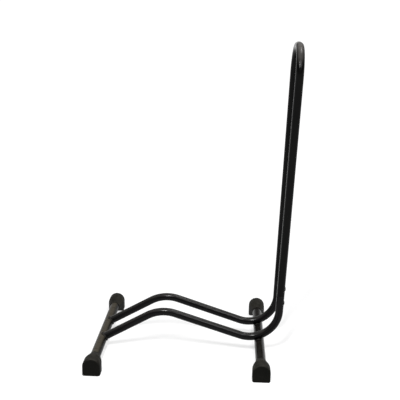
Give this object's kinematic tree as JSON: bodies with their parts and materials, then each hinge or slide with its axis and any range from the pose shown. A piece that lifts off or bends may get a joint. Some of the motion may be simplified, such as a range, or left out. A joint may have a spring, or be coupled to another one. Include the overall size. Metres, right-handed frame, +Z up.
{
  "type": "bicycle display stand",
  "caption": "Floor stand that holds one bicycle wheel: cross bars on boot feet, wave-bent wheel rails and a tall leaning hoop of painted steel tube.",
  "frame": {"origin": "centre of the footprint's bounding box, on the ground", "axes": "+Z up; +X to the rear, where the hoop stands; +Y to the stand's left, along the cross bars"},
  "size_m": [0.4802, 0.4256, 0.7471],
  "materials": {
    "paint": "satin black",
    "rubber": "matte black",
    "weld": "satin black over the bead",
    "steel": "dark zinc"
  },
  "bodies": {
    "root": {"front_cross_bar": "paint", "rear_cross_bar": "paint", "foot_front_left": "rubber", "foot_front_right": "rubber", "foot_rear_left": "rubber", "foot_rear_right": "rubber", "left_side_rail": "paint", "right_side_rail": "paint", "wheel_hoop": "paint", "left_front_weld": "weld", "right_front_weld": "weld", "left_rear_weld": "weld", "right_rear_weld": "weld", "left_joint_spigot": "steel", "right_joint_spigot": "steel", "left_joint_screw_lower": "steel", "left_joint_screw_upper": "steel", "right_joint_screw_lower": "steel", "right_joint_screw_upper": "steel"}
  },
  "joints": []
}
